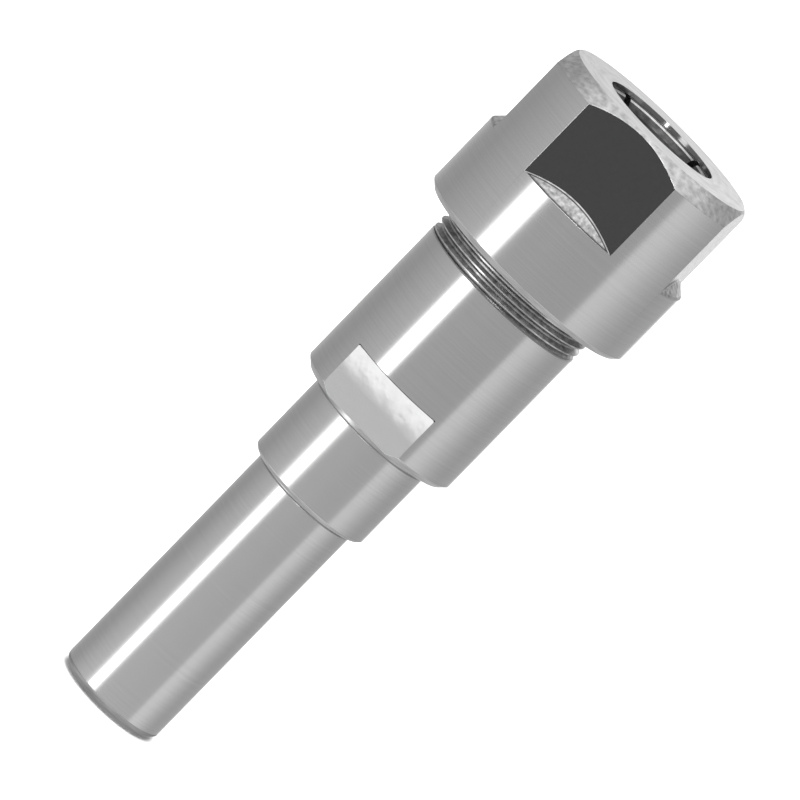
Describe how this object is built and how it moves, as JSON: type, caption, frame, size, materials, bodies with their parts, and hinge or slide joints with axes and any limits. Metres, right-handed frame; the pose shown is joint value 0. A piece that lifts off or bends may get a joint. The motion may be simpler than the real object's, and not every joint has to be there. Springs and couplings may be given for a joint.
{
  "type": "collet extension rod",
  "caption": "Straight-shank extension rod with a slotted collet and a screwed clamping nut, for holding a round tool shank further out from a spindle.",
  "frame": {"origin": "centre of the shank's end face", "axes": "+Z along the axis, from the shank's end to the nut's mouth; +Y square to the body's two spanner flats"},
  "size_m": [0.027, 0.027, 0.0836],
  "materials": {
    "rod_steel": "ground bright",
    "collet_steel": "ground bright",
    "nut_steel": "ground bright, with satin bevels"
  },
  "bodies": {
    "rod": {"rod_body": "rod_steel"},
    "collet": {"collet": "collet_steel"},
    "nut": {"clamping_nut": "nut_steel"}
  },
  "joints": [
    {"name": "collet_slide", "type": "slide", "parent": "rod", "child": "collet", "axis": [0, 0, 1], "range_m": [-0.00051, 0.01001]},
    {"name": "nut_turn", "type": "hinge", "parent": "collet", "child": "nut", "pos_m": [0, 0, 0.0734], "axis": [0, 0, 1], "range_deg": [-180, 3600]}
  ],
  "couplings": [
    {"joint": "collet_slide", "follows": "nut_turn", "m_per_rad": 0.00015915}
  ]
}
